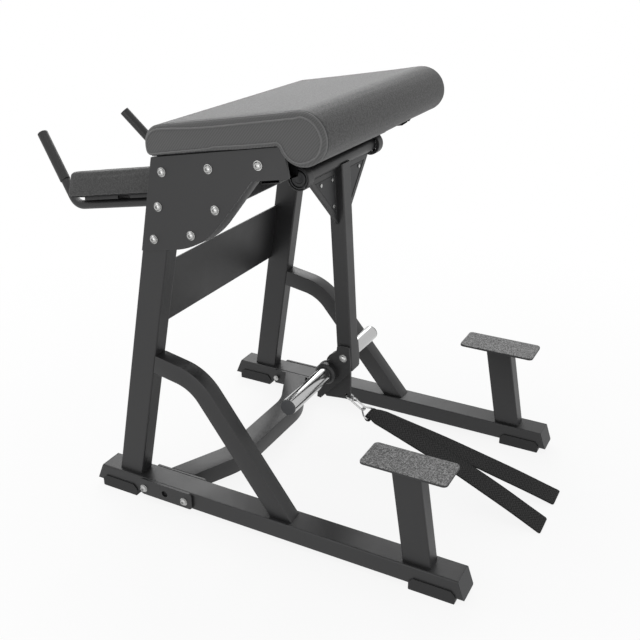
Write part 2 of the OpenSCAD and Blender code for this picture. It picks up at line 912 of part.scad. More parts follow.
module horn_end_caps() {
  color("#3c3d40") place() both() translate([horn_x, horn_l / 2 - horn_cap_t, horn_z]) rotate([-90, 0, 0])
    rotate_extrude() polygon([
      [0, -8], [horn_d / 2 - horn_wall - seat_gap, -8], [horn_d / 2 - horn_wall - seat_gap, 0],
      [horn_neck, 0], [horn_neck, horn_cap_t - 1], [horn_neck - 1, horn_cap_t], [0, horn_cap_t]
    ]);
}

lug_t = 10;
lug_hole_r = 5.5;

module strap_lug() {
  color("#1c1d1f") place() difference() {
    translate([0, lug_t / 2, 0]) rotate([90, 0, 0]) linear_extrude(lug_t) difference() {
      polygon([
        [30, 372], [71, 372], [72, 268], [71, 254], [65, 247], [52, 244], [-14, 237], [-22, 246], [-18, 318]
      ]);
      translate([lug_x, lug_z]) circle(lug_hole_r);
    }
    horn_hole();
    hang() translate([-big / 2, -big / 2, -arm_l]) cube(big);
  }
}

// Frame of the hanging chain: origin in the lug's hole, X down towards the straps
module chain() translate([lug_x, 0, lug_z]) rotate([0, chain_drop, 0]) children();

module ring_arc(r, wire, angle) rotate_extrude(angle = angle, $fn = 48) translate([r, 0])
  circle(wire, $fn = 20);

// Small closed ring through the lug's hole
module lug_shackle() {
  color("#c9ccd0") place() chain() translate([shackle_r, 0, 0]) ring_arc(shackle_r, shackle_wire, 360);
}

// Spring hook: oval wire frame with an opening on its upper side for the gate
module hook_body() {
  color("#d2d4d8") place() chain() translate([hook_mid, 0, 0]) rotate([90, 0, 0]) {
    for (m = [0, 1]) mirror([m, 0, 0]) {
      translate([hook_half, 0, 0]) rotate([0, 0, -90]) ring_arc(hook_r, hook_wire, 180);
      translate([hook_half - hook_stop, hook_r, 0]) rotate([0, 90, 0])
        cylinder(r = hook_wire, h = hook_stop, $fn = 32);
    }
    translate([-hook_half, -hook_r, 0]) rotate([0, 90, 0])
      cylinder(r = hook_wire, h = 2 * hook_half, $fn = 32);
  }
}

// The gate turns about the round knuckle at its lower end
module hook_gate() {
  gate_l = 2 * (hook_half - hook_stop) - knuckle_r - body_gap - gate_free;
  color("#d2d4d8") place() chain()
    translate([hook_mid - hook_half + hook_stop + body_gap + knuckle_r, 0, hook_r]) {
      rotate([90, 0, 0]) cylinder(r = knuckle_r, h = knuckle_w, center = true, $fn = 32);
      rotate([0, 90, 0]) cylinder(r = gate_r, h = gate_l, $fn = 32);
    }
}

// Ring in the hook's end, which widens to the bar that carries both straps
module strap_ring() {
  corners = [
    [0, -ring_top_half], [0, ring_top_half], [ring_h - ring_shoulder, ring_half], [ring_h, ring_half],
    [ring_h, -ring_half], [ring_h - ring_shoulder, -ring_half]
  ];
  color("#d2d4d8") place() chain() translate([ring_top, 0, 0])
    for (i = [0:len(corners) - 1]) let (a = corners[i], b = corners[(i + 1) % len(corners)], d = b - a)
      translate([a[0], a[1], 0]) {
        cylinder(r = ring_wire + seat_gap, h = 2 * (ring_wire + seat_gap), center = true, $fn = 32);
        rotate([0, 90, atan2(d[1], d[0])]) cylinder(r = ring_wire, h = norm(d), $fn = 32);
      }
}

// Height of a strap's upper face above the bar, from the bar (t = 0) to the floor (t = 1)
function strap_height(t, start, lift) =
  start * (1 - t) + (strap_t - bar_z - shoe_h) * t + (lift + strap_rise) * sin(180 * t);

// Side view of one strap: an eye sewn round the bar, then a band that sinks to the floor
module strap_side(eye_r, lift) {
  n = 20;
  dip = atan((bar_z + shoe_h + eye_r - strap_t - (strap_rise + lift) * PI) / strap_reach);
  start = eye_r / cos(dip);
  eye_in = eye_r - strap_t;
  floor_top = strap_t - bar_z - shoe_h;
  polygon([
    [strap_reach + strap_w, floor_top],
    for (i = [n:-1:1]) [strap_reach * i / n, strap_height(i / n, start, lift)],
    for (a = [90 - dip:10:90 - dip + eye_turn]) [eye_r * cos(a), eye_r * sin(a)],
    for (a = [90 - dip + eye_turn:-10:90 - dip]) [eye_in * cos(a), eye_in * sin(a)],
    for (i = [1:n]) [strap_reach * i / n, strap_height(i / n, start, lift) - strap_t],
    [strap_reach + strap_w, floor_top - strap_t]
  ]);
}

// One strap: its side view cut to the outline from above, which drifts sideways towards its end
module ankle_strap(drift, eye_r, lift) {
  wide = strap_w / 2;
  mid = drift * strap_taper / strap_reach;
  color("#171717") place() translate([bar_x, 0, bar_z]) intersection() {
    translate([0, big / 2, 0]) rotate([90, 0, 0]) linear_extrude(big) strap_side(eye_r, lift);
    translate([0, 0, -big / 2]) linear_extrude(big) polygon([
      [-2 * eye_r, -strap_neck], [strap_neck, -strap_neck], [strap_taper, mid - wide],
      for (c = [[-strap_round, -wide], [-strap_round / 4, strap_round / 4 - wide], [0, strap_round - wide],
        [0, wide - strap_round], [-strap_round / 4, wide - strap_round / 4], [-strap_round, wide]])
        [strap_reach + c[0], drift + c[1]],
      [strap_taper, mid + wide], [strap_neck, strap_neck], [-2 * eye_r, strap_neck]
    ]);
  }
}

eye_inner = ring_wire + body_gap + strap_t;
eye_outer = eye_inner + body_gap + strap_t;

module ankle_strap_left() ankle_strap(drift_left, eye_inner, 0);

module ankle_strap_right() ankle_strap(drift_right, eye_outer, lift_right);

// Handles

// Frame of one handle: X along the run towards the head, Z in the plane of the bend
module handle_frame() head() translate([handle_u, handle_y, handle_w])
  rotate([handle_roll, 0, 0]) children();

bend_tan = handle_r * tan(handle_bend / 2);
handle_run = beam_u - beam_s / 2 - handle_u;

module handle_tubes() {
  color("#26272a") place() both() handle_frame() {
    translate([bend_tan - bend_lap, 0, 0]) rotate([0, 90, 0])
      cylinder(r = handle_d / 2, h = handle_run - bend_tan + bend_lap);
    translate([bend_tan, 0, handle_r]) rotate([90, 0, 0]) rotate([0, 0, 270 - handle_bend])
      rotate_extrude(angle = handle_bend, $fn = 96) translate([handle_r, 0]) circle(handle_d / 2 - seat_gap);
    rotate([0, -(90 - handle_bend), 0]) translate([0, 0, bend_tan - bend_lap])
      cylinder(r = handle_d / 2, h = handle_len - bend_tan + bend_lap - plug_t);
  }
}

module hand_grips() {
  color("#161616") place() both() handle_frame() rotate([0, -(90 - handle_bend), 0])
    translate([0, 0, handle_len - plug_t - grip_l]) rotate_extrude() polygon([
      [handle_d / 2 + seat_gap, 0], [handle_d / 2 + grip_t - 1, 0], [handle_d / 2 + grip_t, 2],
      [handle_d / 2 + grip_t, grip_l], [handle_d / 2 + seat_gap, grip_l]
    ]);
}

module grip_end_plugs() {
  color("#101010") place() both() handle_frame() rotate([0, -(90 - handle_bend), 0])
    translate([0, 0, handle_len - plug_t]) rotate_extrude() polygon([
      [0, 0], [handle_d / 2 + grip_t, 0], [handle_d / 2 + grip_t, plug_t / 2],
      [handle_d / 2 + grip_t - plug_t / 2, plug_t], [0, plug_t]
    ]);
}

arm_pad_low = handle_d / 2 + tab_t;
tab_places = [[-469, 132], [-310, 90]];

module pad_tabs() {
  color("#26272a") place() both() handle_frame() for (t = tab_places)
    translate([t[0] - t[1] / 2 - handle_u, -36, handle_d / 2 - 2]) difference() {
      cube([t[1], 72, tab_t + 2]);
      translate([-1, 36, -handle_d / 2 + 2]) rotate([0, 90, 0]) cylinder(r = handle_d / 2, h = t[1] + 2);
    }
}

arm_board_in = 10;

module forearm_boards() {
  color("#8a6a45") place() both() handle_frame()
    translate([arm_pad_u0 - handle_u + arm_board_in, -arm_pad_w / 2 + arm_board_in, arm_pad_low])
      cube([arm_pad_u1 - arm_pad_u0 - 2 * arm_board_in, arm_pad_w - 2 * arm_board_in, arm_board_t]);
}

// Long section of a forearm pad, drawn in by d, with a slanted outer end
function arm_pad_section(d, crown) =
  let (
    r = 9,
    x0 = arm_pad_u0 - handle_u + d + r,
    x1 = arm_pad_u1 - handle_u - d - r,
    z0 = arm_pad_low + d + r,
    z1 = arm_pad_low + arm_pad_t - d - r,
    lean = (z1 - z0) * tan(arm_pad_slant)
  )
  [
    for (i = [0:3]) [x0 + r * cos(180 + 30 * i), z0 + r * sin(180 + 30 * i)],
    for (i = [0:3]) [x1 + r * cos(270 + 30 * i), z0 + r * sin(270 + 30 * i)],
    for (i = [0:3]) [x1 + r * cos(30 * i), z1 + r * sin(30 * i)],
    for (k = [0.75, 0.5, 0.25]) [x0 + lean + k * (x1 - x0 - lean), z1 + r + crown * sin(180 * k)],
    for (i = [0:3]) [x0 + lean + r * cos(90 + 30 * i), z1 + r * sin(90 + 30 * i)]
  ];

arm_pad_half = arm_pad_w / 2;
arm_pad_edge = 8;
arm_stations = [
  for (i = [0:3]) [-arm_pad_half + arm_pad_edge * (1 - cos(30 * i)), arm_pad_edge * (1 - sin(30 * i)), 0],
  [0, 0, 3],
  for (i = [3:-1:0]) [arm_pad_half - arm_pad_edge * (1 - cos(30 * i)), arm_pad_edge * (1 - sin(30 * i)), 0]
];

module forearm_pads() {
  g = body_gap;
  color("#4b4c4f") place() both() handle_frame() difference() {
    skin([for (s = arm_stations) [for (p = arm_pad_section(s[1], s[2])) [p[0], s[0], p[1]]]]);
    translate([arm_pad_u0 - handle_u + arm_board_in - g, arm_board_in - g - arm_pad_half, arm_pad_low - 20])
      cube([arm_pad_u1 - arm_pad_u0 - 2 * arm_board_in + 2 * g, arm_pad_w - 2 * arm_board_in + 2 * g,
        20 + arm_board_t]);
  }
}

floor_rails();
rail_end_caps();
rubber_shoes();
base_cross_tube();
inner_flange_plates();
outer_clamp_plates();
base_bolts();
uprights();
lower_braces();
foot_posts();
foot_plates();
grip_sheets();
head_side_tubes();
upper_braces();
side_plates();
side_bolts();
rear_panel();
head_cross_beam();
handle_beam();
pad_mount_plates();
main_pad_board();
main_pad();
pivot_stub_tubes();
bearing_housings();
bearing_outer_rings();
bearing_balls();
bearing_inner_rings();
bearing_caps();
pivot_shaft();
pivot_tube();
pendulum_arm();
pendulum_gussets();
gusset_covers();
gusset_screws();
horn_brackets();
horn_collars();
bracket_bolt();
weight_horn();
horn_end_caps();
strap_lug();
lug_shackle();
hook_body();
hook_gate();
strap_ring();
ankle_strap_left();
ankle_strap_right();
handle_tubes();
hand_grips();
grip_end_plugs();
pad_tabs();
forearm_boards();
forearm_pads();
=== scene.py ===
import json
import math

import bmesh
import bpy
import numpy as np
from mathutils import Matrix, Vector


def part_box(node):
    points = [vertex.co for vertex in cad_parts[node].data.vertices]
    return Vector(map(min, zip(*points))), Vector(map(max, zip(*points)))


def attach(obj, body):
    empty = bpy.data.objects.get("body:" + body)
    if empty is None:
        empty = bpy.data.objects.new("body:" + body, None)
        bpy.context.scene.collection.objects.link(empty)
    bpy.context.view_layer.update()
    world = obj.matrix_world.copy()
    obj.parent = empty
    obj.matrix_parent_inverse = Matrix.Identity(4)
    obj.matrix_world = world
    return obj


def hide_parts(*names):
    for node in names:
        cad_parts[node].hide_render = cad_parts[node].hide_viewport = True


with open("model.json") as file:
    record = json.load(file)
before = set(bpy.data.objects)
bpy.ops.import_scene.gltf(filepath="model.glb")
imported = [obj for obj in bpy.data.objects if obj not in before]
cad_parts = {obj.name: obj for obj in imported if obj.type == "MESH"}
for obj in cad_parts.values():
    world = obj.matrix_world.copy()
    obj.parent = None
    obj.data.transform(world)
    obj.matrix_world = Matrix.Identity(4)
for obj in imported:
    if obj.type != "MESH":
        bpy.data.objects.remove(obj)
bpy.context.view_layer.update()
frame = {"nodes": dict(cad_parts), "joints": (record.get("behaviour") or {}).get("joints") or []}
steel = frame["nodes"]


# ---- Welded steel frame ----------------------------------------------------------------
# Square tube and laser-cut plate, welded, bolted and powder coated satin black.
# The coat is baked on as dust: soft highlights, a faint orange peel, and edges painted paler as a highlight.
def linear(shade):
    """An sRGB hex colour as Blender's linear numbers."""
    parts = [int(shade[i : i + 2], 16) / 255 for i in (1, 3, 5)]
    return (*[c / 12.92 if c <= 0.04045 else ((c + 0.055) / 1.055) ** 2.4 for c in parts], 1)


def plug(tree, node, inputs):
    """Fills a node's inputs. A node given as a value stands for its result."""
    for name, value in inputs.items():
        if isinstance(value, bpy.types.Node):
            # a colour mix has its colour as its third output
            value = value.outputs[2 if value.bl_idname == "ShaderNodeMix" else 0]
        if isinstance(value, bpy.types.NodeSocket):
            tree.links.new(value, node.inputs[name])
        else:
            node.inputs[name].default_value = value


def add(tree, kind, inputs=None, **settings):
    """Adds one node with its settings and fills its inputs."""
    made = tree.nodes.new(kind)
    for name, value in settings.items():
        setattr(made, name, value)
    plug(tree, made, inputs or {})
    return made


def new_finish(name):
    """An empty material: its node tree, its shader and the piece's own coordinates."""
    finish = bpy.data.materials.new(name)
    finish.use_nodes = True
    tree = finish.node_tree
    shader = tree.nodes["Principled BSDF"]
    where = add(tree, "ShaderNodeTexCoord").outputs["Object"]
    return finish, tree, shader, where


def powder_coat():
    finish, tree, shader, where = new_finish("powder_coated_steel")
    # orange peel is about 1 mm across: drawn at 2.5 mm so that it shows
    peel = add(tree, "ShaderNodeTexNoise", {"Vector": where, "Scale": 400.0, "Detail": 2.0})
    # slow clouds in the coat, about 100 mm across, shift its tone and gloss a little
    cloud = add(tree, "ShaderNodeTexNoise", {"Vector": where, "Scale": 9.0, "Detail": 3.0})
    bump = add(tree, "ShaderNodeBump", {"Strength": 0.12, "Distance": 0.0004, "Height": peel})
    # plate edges are broken by 1.8 mm, and a painted highlight makes them paler
    rounded = add(tree, "ShaderNodeBevel", {"Radius": 0.0018, "Normal": bump}, samples=6)
    flat = add(tree, "ShaderNodeNewGeometry").outputs["True Normal"]
    lean = add(tree, "ShaderNodeVectorMath", {0: rounded, 1: flat}, operation="DOT_PRODUCT")
    edge = add(tree, "ShaderNodeMapRange", {0: lean.outputs["Value"], 1: 0.995, 2: 0.85, 3: 0.0, 4: 1.0})
    shades = {0: cloud, 6: linear("#1a1a1b"), 7: linear("#202021")}
    body = add(tree, "ShaderNodeMix", shades, data_type="RGBA")
    # the pale colour on the corners is a painted highlight
    coat_with_painted_edge_highlight = add(tree, "ShaderNodeMix", {0: edge, 6: body, 7: linear("#3a3a3b")}, data_type="RGBA")
    gloss = add(tree, "ShaderNodeMapRange", {0: cloud, 1: 0.3, 2: 0.7, 3: 0.40, 4: 0.48})
    plug(tree, shader, {"Base Color": coat_with_painted_edge_highlight, "Roughness": gloss, "Normal": rounded})
    return finish


def dress(names, finish):
    """Gives CAD nodes one finish."""
    for name in names:
        steel[name].data.materials.clear()
        steel[name].data.materials.append(finish)


dress([
    "floor_rails", "base_cross_tube", "inner_flange_plates", "outer_clamp_plates", "uprights",
    "lower_braces", "foot_posts", "foot_plates", "head_side_tubes", "upper_braces", "side_plates",
    "rear_panel", "head_cross_beam", "handle_beam", "pad_mount_plates", "pivot_stub_tubes",
    "bearing_housings", "pivot_tube", "pendulum_arm", "pendulum_gussets", "horn_brackets",
    "horn_collars", "strap_lug", "handle_tubes", "pad_tabs",
], powder_coat())


# ---- Bent tubes ------------------------------------------------------------------------
# The braces and the base's cross tube are bent square tube. The mill rolls its corners to
# a 5 mm radius, so each of these copies has its long edges rounded.
def pick(piece):
    """Leaves only this piece selected and active."""
    bpy.ops.object.select_all(action="DESELECT")
    piece.select_set(True)
    bpy.context.view_layer.objects.active = piece


def new_piece(name, data):
    """Puts a mesh or a curve in the scene as a piece at the origin, and picks it."""
    piece = bpy.data.objects.new(name, data)
    bpy.context.scene.collection.objects.link(piece)
    pick(piece)
    return piece


def open_up(kind, action):
    """Opens the picked piece in edit mode, with all of it selected or nothing."""
    bpy.ops.object.mode_set(mode="EDIT")
    bpy.ops.mesh.select_mode(type=kind)
    bpy.ops.mesh.select_all(action=action)


def copy_of(node, name):
    """A new piece with a CAD node's shape, its loose triangles merged into whole faces."""
    piece = new_piece(name, steel[node].data.copy())
    shape = bmesh.new()
    shape.from_mesh(piece.data)
    bmesh.ops.remove_doubles(shape, verts=shape.verts, dist=0.00001)
    bmesh.ops.dissolve_limit(shape, angle_limit=0.01, verts=shape.verts, edges=shape.edges)
    shape.to_mesh(piece.data)
    shape.free()
    return piece


def rounded_tube(node, radius):
    tube = copy_of(node, node + "_rounded")
    edges = tube.modifiers.new("corners", "BEVEL")
    edges.width = radius
    edges.segments = 3
    edges.limit_method = "ANGLE"
    edges.angle_limit = math.radians(50)
    edges.use_clamp_overlap = True
    bpy.ops.object.modifier_apply(modifier="corners")
    bpy.ops.object.shade_smooth_by_angle(angle=math.radians(35))
    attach(tube, "frame")
    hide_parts(node)


for bent in ("lower_braces", "upper_braces", "base_cross_tube"):
    rounded_tube(bent, 0.0045)


# ---- Head side tubes -------------------------------------------------------------------
# These tubes are open at the front and one looks into their dark bores. The CAD has a wall
# there, which this copy leaves off, so that only the rim is left.
def open_side_tubes():
    tilt = math.radians(10)
    wall = 0.0035
    along = Vector((math.cos(tilt), 0, math.sin(tilt)))
    mouth = max(along.dot(v.co) for v in steel["head_side_tubes"].data.vertices) - wall
    tubes = copy_of("head_side_tubes", "head_side_tubes_open")
    open_up("EDGE", "SELECT")
    bpy.ops.mesh.bisect(plane_co=along * mouth, plane_no=along, clear_outer=True, threshold=0.00001)
    for side in (-1, 1):
        # the outer and inner outline of one tube's mouth are joined by its rim
        bpy.ops.mesh.select_all(action="DESELECT")
        bpy.ops.object.mode_set(mode="OBJECT")
        spots = [v.co for v in tubes.data.vertices]
        for edge in tubes.data.edges:
            ends = [spots[i] for i in edge.vertices]
            edge.select = all(abs(along.dot(end) - mouth) < 0.00001 and end.y * side > 0 for end in ends)
        bpy.ops.object.mode_set(mode="EDIT")
        bpy.ops.mesh.bridge_edge_loops()
    bpy.ops.mesh.select_all(action="SELECT")
    bpy.ops.mesh.normals_make_consistent(inside=False)
    bpy.ops.object.mode_set(mode="OBJECT")
    bpy.ops.object.shade_smooth_by_angle(angle=math.radians(30))
    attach(tubes, "frame")
    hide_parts("head_side_tubes")


open_side_tubes()


# ---- Moulded plastic and rubber --------------------------------------------------------
# Tube caps, bearing caps, gusset covers and plugs are moulded nylon; shoes and grips are
# rubber. Both are black and dull, with a fine spark-eroded grain from the mould.
def moulded(name, dark, pale, roughness, grain):
    finish, tree, shader, where = new_finish(name)
    # spark grain is well under 1 mm: drawn at about 2 mm so that it shows
    spots = add(tree, "ShaderNodeTexNoise", {"Vector": where, "Scale": grain, "Detail": 1.0})
    bump = add(tree, "ShaderNodeBump", {"Strength": 0.15, "Distance": 0.0003, "Height": spots})
    rounded = add(tree, "ShaderNodeBevel", {"Radius": 0.001, "Normal": bump}, samples=6)
    body = add(tree, "ShaderNodeMix", {0: spots, 6: linear(dark), 7: linear(pale)}, data_type="RGBA")
    plug(tree, shader, {"Base Color": body, "Roughness": roughness, "Normal": rounded})
    return finish


nylon = moulded("moulded_nylon", "#161719", "#1e1f21", 0.5, 500.0)
rubber = moulded("black_rubber", "#121213", "#1b1b1c", 0.7, 700.0)
dress(["rail_end_caps", "bearing_caps", "grip_end_plugs"], nylon)
dress(["rubber_shoes"], rubber)
dress(["hand_grips"], moulded("grip_rubber", "#151515", "#1b1b1b", 0.42, 900.0))
dress(["horn_end_caps"], moulded("horn_cap_nylon", "#3a3b3d", "#434446", 0.45, 500.0))


def lined_covers():
    """Gusset covers with a painted shade line, 2 mm wide, round each one's border, as at the foot of a recess.
    """
    covers = copy_of("gusset_covers", "gusset_covers_grooved")
    covers.data.materials.clear()
    covers.data.materials.append(nylon)
    # the border band stays flat: its near-black colour is painted shade standing in for a recess
    covers.data.materials.append(moulded("painted_recess_shade_nylon", "#060606", "#0a0a0a", 0.8, 500.0))
    open_up("FACE", "DESELECT")
    bpy.ops.object.mode_set(mode="OBJECT")
    for face in covers.data.polygons:
        face.select = abs(face.normal.x) > 0.7 and face.area > 0.0004
    bpy.ops.object.mode_set(mode="EDIT")
    bpy.ops.mesh.inset(thickness=0.0022, use_select_inset=True)
    covers.active_material_index = 1
    bpy.ops.object.material_slot_assign()
    bpy.ops.object.mode_set(mode="OBJECT")
    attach(covers, "pendulum")
    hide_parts("gusset_covers")


lined_covers()


# ---- Bearing caps ----------------------------------------------------------------------
# Moulded nylon caps pressed into the bearing housings, with a raised rim, a sealing groove
# and a dished middle: turned profiles in place of the plain CAD caps.
def turned_cap(name, side):
    low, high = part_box("bearing_caps")
    axis = Vector(((low.x + high.x) / 2, 0, (low.z + high.z) / 2))
    # half of the cap's section from its middle out: radius, and depth behind its face, in mm
    profile = [
        (0, 2.6), (6, 2.4), (10.5, 1.6), (12.5, 1.6), (13.8, 0.4), (20.5, 0.2), (21.5, 1.2),
        (21.8, 4.8), (24.2, 4.8), (24.5, 1.0), (25.3, 0.1), (28.8, 0.1), (29.7, 1.0), (29.9, 7.0), (0, 7.0),
    ]
    points = [(axis.x + r / 1000, side * (high.y - depth / 1000), axis.z) for r, depth in profile]
    section = bpy.data.meshes.new(name)
    section.from_pydata(points, [(i, i + 1) for i in range(len(points) - 1)], [])
    cap = new_piece(name, section)
    open_up("VERT", "SELECT")
    bpy.ops.mesh.spin(steps=72, angle=math.tau, center=axis, axis=(0, 1, 0), use_auto_merge=True)
    bpy.ops.mesh.select_all(action="SELECT")
    bpy.ops.mesh.remove_doubles(threshold=0.00001)
    bpy.ops.mesh.normals_make_consistent(inside=False)
    bpy.ops.object.mode_set(mode="OBJECT")
    cap.data.materials.append(nylon)
    bpy.ops.object.shade_smooth_by_angle(angle=math.radians(30))
    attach(cap, "frame")
    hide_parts("bearing_caps")


turned_cap("bearing_cap_near", -1)
turned_cap("bearing_cap_far", 1)


# ---- Grip sheets -----------------------------------------------------------------------
# Self-adhesive anti-slip sheet on the foot plates: mineral grit in clear resin over grey.
# The grit is about 1 mm: drawn at 3 mm so that it shows.
def grit_sheet():
    finish, tree, shader, where = new_finish("grit_sheet")
    grit = add(tree, "ShaderNodeTexVoronoi", {"Vector": where, "Scale": 420.0})
    speck = add(tree, "ShaderNodeTexWhiteNoise", {"Vector": grit.outputs["Position"]})
    patch = add(tree, "ShaderNodeTexNoise", {"Vector": where, "Scale": 90.0, "Detail": 5.0})
    amount = add(tree, "ShaderNodeMapRange", {0: patch, 1: 0.3, 2: 0.7, 3: 0.65, 4: 1.0})
    level = add(tree, "ShaderNodeMath", {0: speck, 1: amount}, operation="MULTIPLY")
    share = add(tree, "ShaderNodeMapRange", {0: level, 1: 0.1, 2: 0.95, 3: 0.0, 4: 1.0})
    body = add(tree, "ShaderNodeMix", {0: share, 6: linear("#4a4a4a"), 7: linear("#b4b4b4")}, data_type="RGBA")
    bump = add(tree, "ShaderNodeBump", {"Strength": 0.6, "Distance": 0.0008, "Height": speck})
    plug(tree, shader, {"Base Color": body, "Roughness": 0.75, "Normal": bump})
    return finish


dress(["grip_sheets"], grit_sheet())


# ---- Bright metal ----------------------------------------------------------------------
# Bolts and screws are zinc plated, bearings and shaft ground steel, the weight sleeve and
# the strap's fittings chromed: all metal, from dull plating to a mirror with fine scratches.
def bright_metal(name, shade, roughness, scratch):
    finish, tree, shader, where = new_finish(name)
    # scratches are hair thin: drawn about 1 mm apart so that they show
    stretched = add(tree, "ShaderNodeMapping", {0: where, 3: (1.0, 0.04, 1.0)})
    lines = add(tree, "ShaderNodeTexNoise", {"Vector": stretched, "Scale": 900.0, "Detail": 2.0})
    bump = add(tree, "ShaderNodeBump", {"Strength": scratch, "Distance": 0.0002, "Height": lines})
    rounded = add(tree, "ShaderNodeBevel", {"Radius": 0.0008, "Normal": bump}, samples=6)
    dull = {0: lines, 1: 0.3, 2: 0.7, 3: roughness * 0.8, 4: roughness * 1.3}
    gloss = add(tree, "ShaderNodeMapRange", dull)
    plug(tree, shader, {"Base Color": linear(shade), "Metallic": 1.0, "Roughness": gloss, "Normal": rounded})
    return finish


zinc = bright_metal("zinc_plated_steel", "#b2b2b1", 0.24, 0.1)
ground = bright_metal("ground_steel", "#bbbbbc", 0.22, 0.15)
chrome = bright_metal("chromed_steel", "#b6b6b6", 0.13, 0.05)
dress(["base_bolts", "side_bolts", "gusset_screws", "bracket_bolt"], zinc)
dress(["bearing_outer_rings", "bearing_balls", "bearing_inner_rings", "pivot_shaft"], ground)
dress(["weight_horn", "lug_shackle", "hook_body", "hook_gate", "strap_ring"], chrome)


# ---- Cushion boards --------------------------------------------------------------------
# Plywood boards inside the cushions, their undersides and edges wrapped in stapled black
# dust cloth: a non-woven polypropylene, dull, with short crossing fibres.
def dust_cloth():
    finish, tree, shader, where = new_finish("nonwoven_dust_cloth")
    # matted fibres, drawn about 4 mm long so that they show
    mat = {"Vector": where, "Scale": 260.0, "Detail": 6.0, "Distortion": 2.5}
    fibres = add(tree, "ShaderNodeTexNoise", mat)
    body = add(tree, "ShaderNodeMix", {0: fibres, 6: linear("#131314"), 7: linear("#262627")}, data_type="RGBA")
    bump = add(tree, "ShaderNodeBump", {"Strength": 0.4, "Distance": 0.0004, "Height": fibres})
    plug(tree, shader, {"Base Color": body, "Roughness": 0.85, "Normal": bump})
    return finish


dress(["main_pad_board", "forearm_boards"], dust_cloth())


# ---- Upholstery ------------------------------------------------------------------------
# Foam cushions covered in dark grey leatherette: pebbled on top, with side panels in a
# finely ribbed cloth-backed vinyl, joined by a sewn seam that stands up as a low welt.
def leatherette(name, ribbed):
    finish, tree, shader, where = new_finish(name)
    if ribbed:
        # ribs 2 mm apart in the real vinyl: drawn at 6 mm so that they show
        turned = add(tree, "ShaderNodeMapping", {0: where, 2: (0.0, math.radians(-40), 0.0)})
        pitch = {"Vector": turned, "Scale": 52.0, "Distortion": 0.2, "Detail": 0.0}
        ribs = add(tree, "ShaderNodeTexWave", pitch, wave_type="BANDS", bands_direction="X")
        height = ribs.outputs["Fac"]
        dark, pale, depth = "#525252", "#5d5d5d", 0.15
    else:
        # pebbles about 2 mm across: drawn at 4 mm so that they show
        pebble = add(tree, "ShaderNodeTexVoronoi", {"Vector": where, "Scale": 250.0}, feature="SMOOTH_F1")
        domes = {0: pebble.outputs["Distance"], 1: 0.05, 2: 0.6, 3: 1.0, 4: 0.0}
        height = add(tree, "ShaderNodeMapRange", domes).outputs[0]
        dark, pale, depth = "#3b3b3b", "#4d4d4d", 0.5
    cloud = add(tree, "ShaderNodeTexNoise", {"Vector": where, "Scale": 12.0, "Detail": 4.0})
    patchy = add(tree, "ShaderNodeMapRange", {0: cloud, 1: 0.3, 2: 0.7, 3: 0.92, 4: 1.08})
    # the colour follows the grain's height: the creases between pebbles or ribs get painted shade, and the
    # clouds add a random tone
    height_with_painted_crease_shade = add(tree, "ShaderNodeMath", {0: height, 1: patchy}, operation="MULTIPLY")
    body = add(tree, "ShaderNodeMix", {0: height_with_painted_crease_shade, 6: linear(dark), 7: linear(pale)}, data_type="RGBA")
    bump = add(tree, "ShaderNodeBump", {"Strength": depth, "Distance": 0.0008, "Height": height})
    gloss = add(tree, "ShaderNodeMapRange", {0: height, 1: 0.0, 2: 1.0, 3: 0.66, 4: 0.54})
    plug(tree, shader, {"Base Color": body, "Roughness": gloss, "Normal": bump})
    # a matt top coat with a trace of bloom, as on wiped-down vinyl
    plug(tree, shader, {"Specular IOR Level": 0.3, "Sheen Weight": 0.15, "Sheen Roughness": 0.5})
    return finish


def piping_finish():
    finish, tree, shader, where = new_finish("leatherette_piping")
    creases = add(tree, "ShaderNodeTexNoise", {"Vector": where, "Scale": 180.0, "Detail": 3.0})
    # the piping is painted paler than the cover as a highlight along the welt's ridge, and darker in its creases
    # as painted shade
    body = add(tree, "ShaderNodeMix", {0: creases, 6: linear("#5a5a5a"), 7: linear("#6c6c6c")}, data_type="RGBA")
    bump = add(tree, "ShaderNodeBump", {"Strength": 0.4, "Distance": 0.0005, "Height": creases})
    plug(tree, shader, {"Base Color": body, "Roughness": 0.5, "Normal": bump})
    return finish


pebbled = leatherette("pebbled_leatherette", False)
ribbed = leatherette("ribbed_leatherette", True)
painted_highlight_piping = piping_finish()


def points_of(piece):
    points = np.empty(len(piece.data.vertices) * 3)
    piece.data.vertices.foreach_get("co", points)
    return points.reshape(-1, 3)


def normals_of(piece):
    return np.array([v.normal for v in piece.data.vertices])


def relax(piece, rounds):
    """Evens out a cover's stair steps and wrinkles."""
    relaxed = piece.modifiers.new("relaxed", "SMOOTH")
    relaxed.factor = 0.5
    relaxed.iterations = rounds
    bpy.ops.object.modifier_apply(modifier="relaxed")


